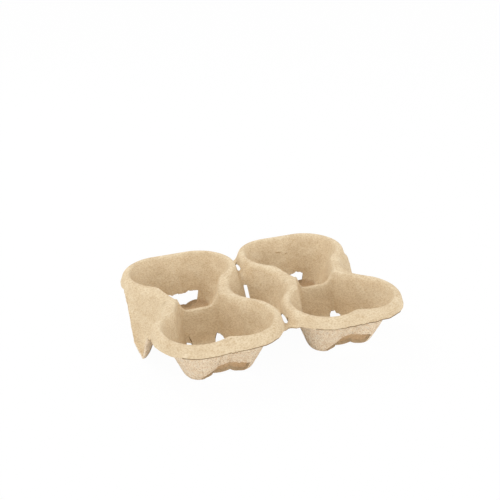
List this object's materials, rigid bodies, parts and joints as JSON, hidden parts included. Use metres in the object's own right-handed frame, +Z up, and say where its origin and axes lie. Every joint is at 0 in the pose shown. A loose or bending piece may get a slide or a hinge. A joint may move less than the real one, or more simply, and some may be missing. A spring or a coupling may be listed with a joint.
{
  "type": "four-cup carrier tray",
  "caption": "Moulded pulp drinks carrier: one thin tan sheet pressed into tapered two-lobed wells with a rounded rim, joined in halves along a slotted tear line.",
  "frame": {"origin": "centre of the tray on the ground, on the tear line between the two halves", "axes": "+X across the two halves, +Y along the tear line towards the back, +Z up"},
  "size_m": [0.2136, 0.171, 0.0443],
  "materials": {
    "pulp": "matte moulded paper pulp, smooth inside and rough on the outer lower walls"
  },
  "bodies": {
    "root": {"tray": "pulp"}
  },
  "joints": []
}
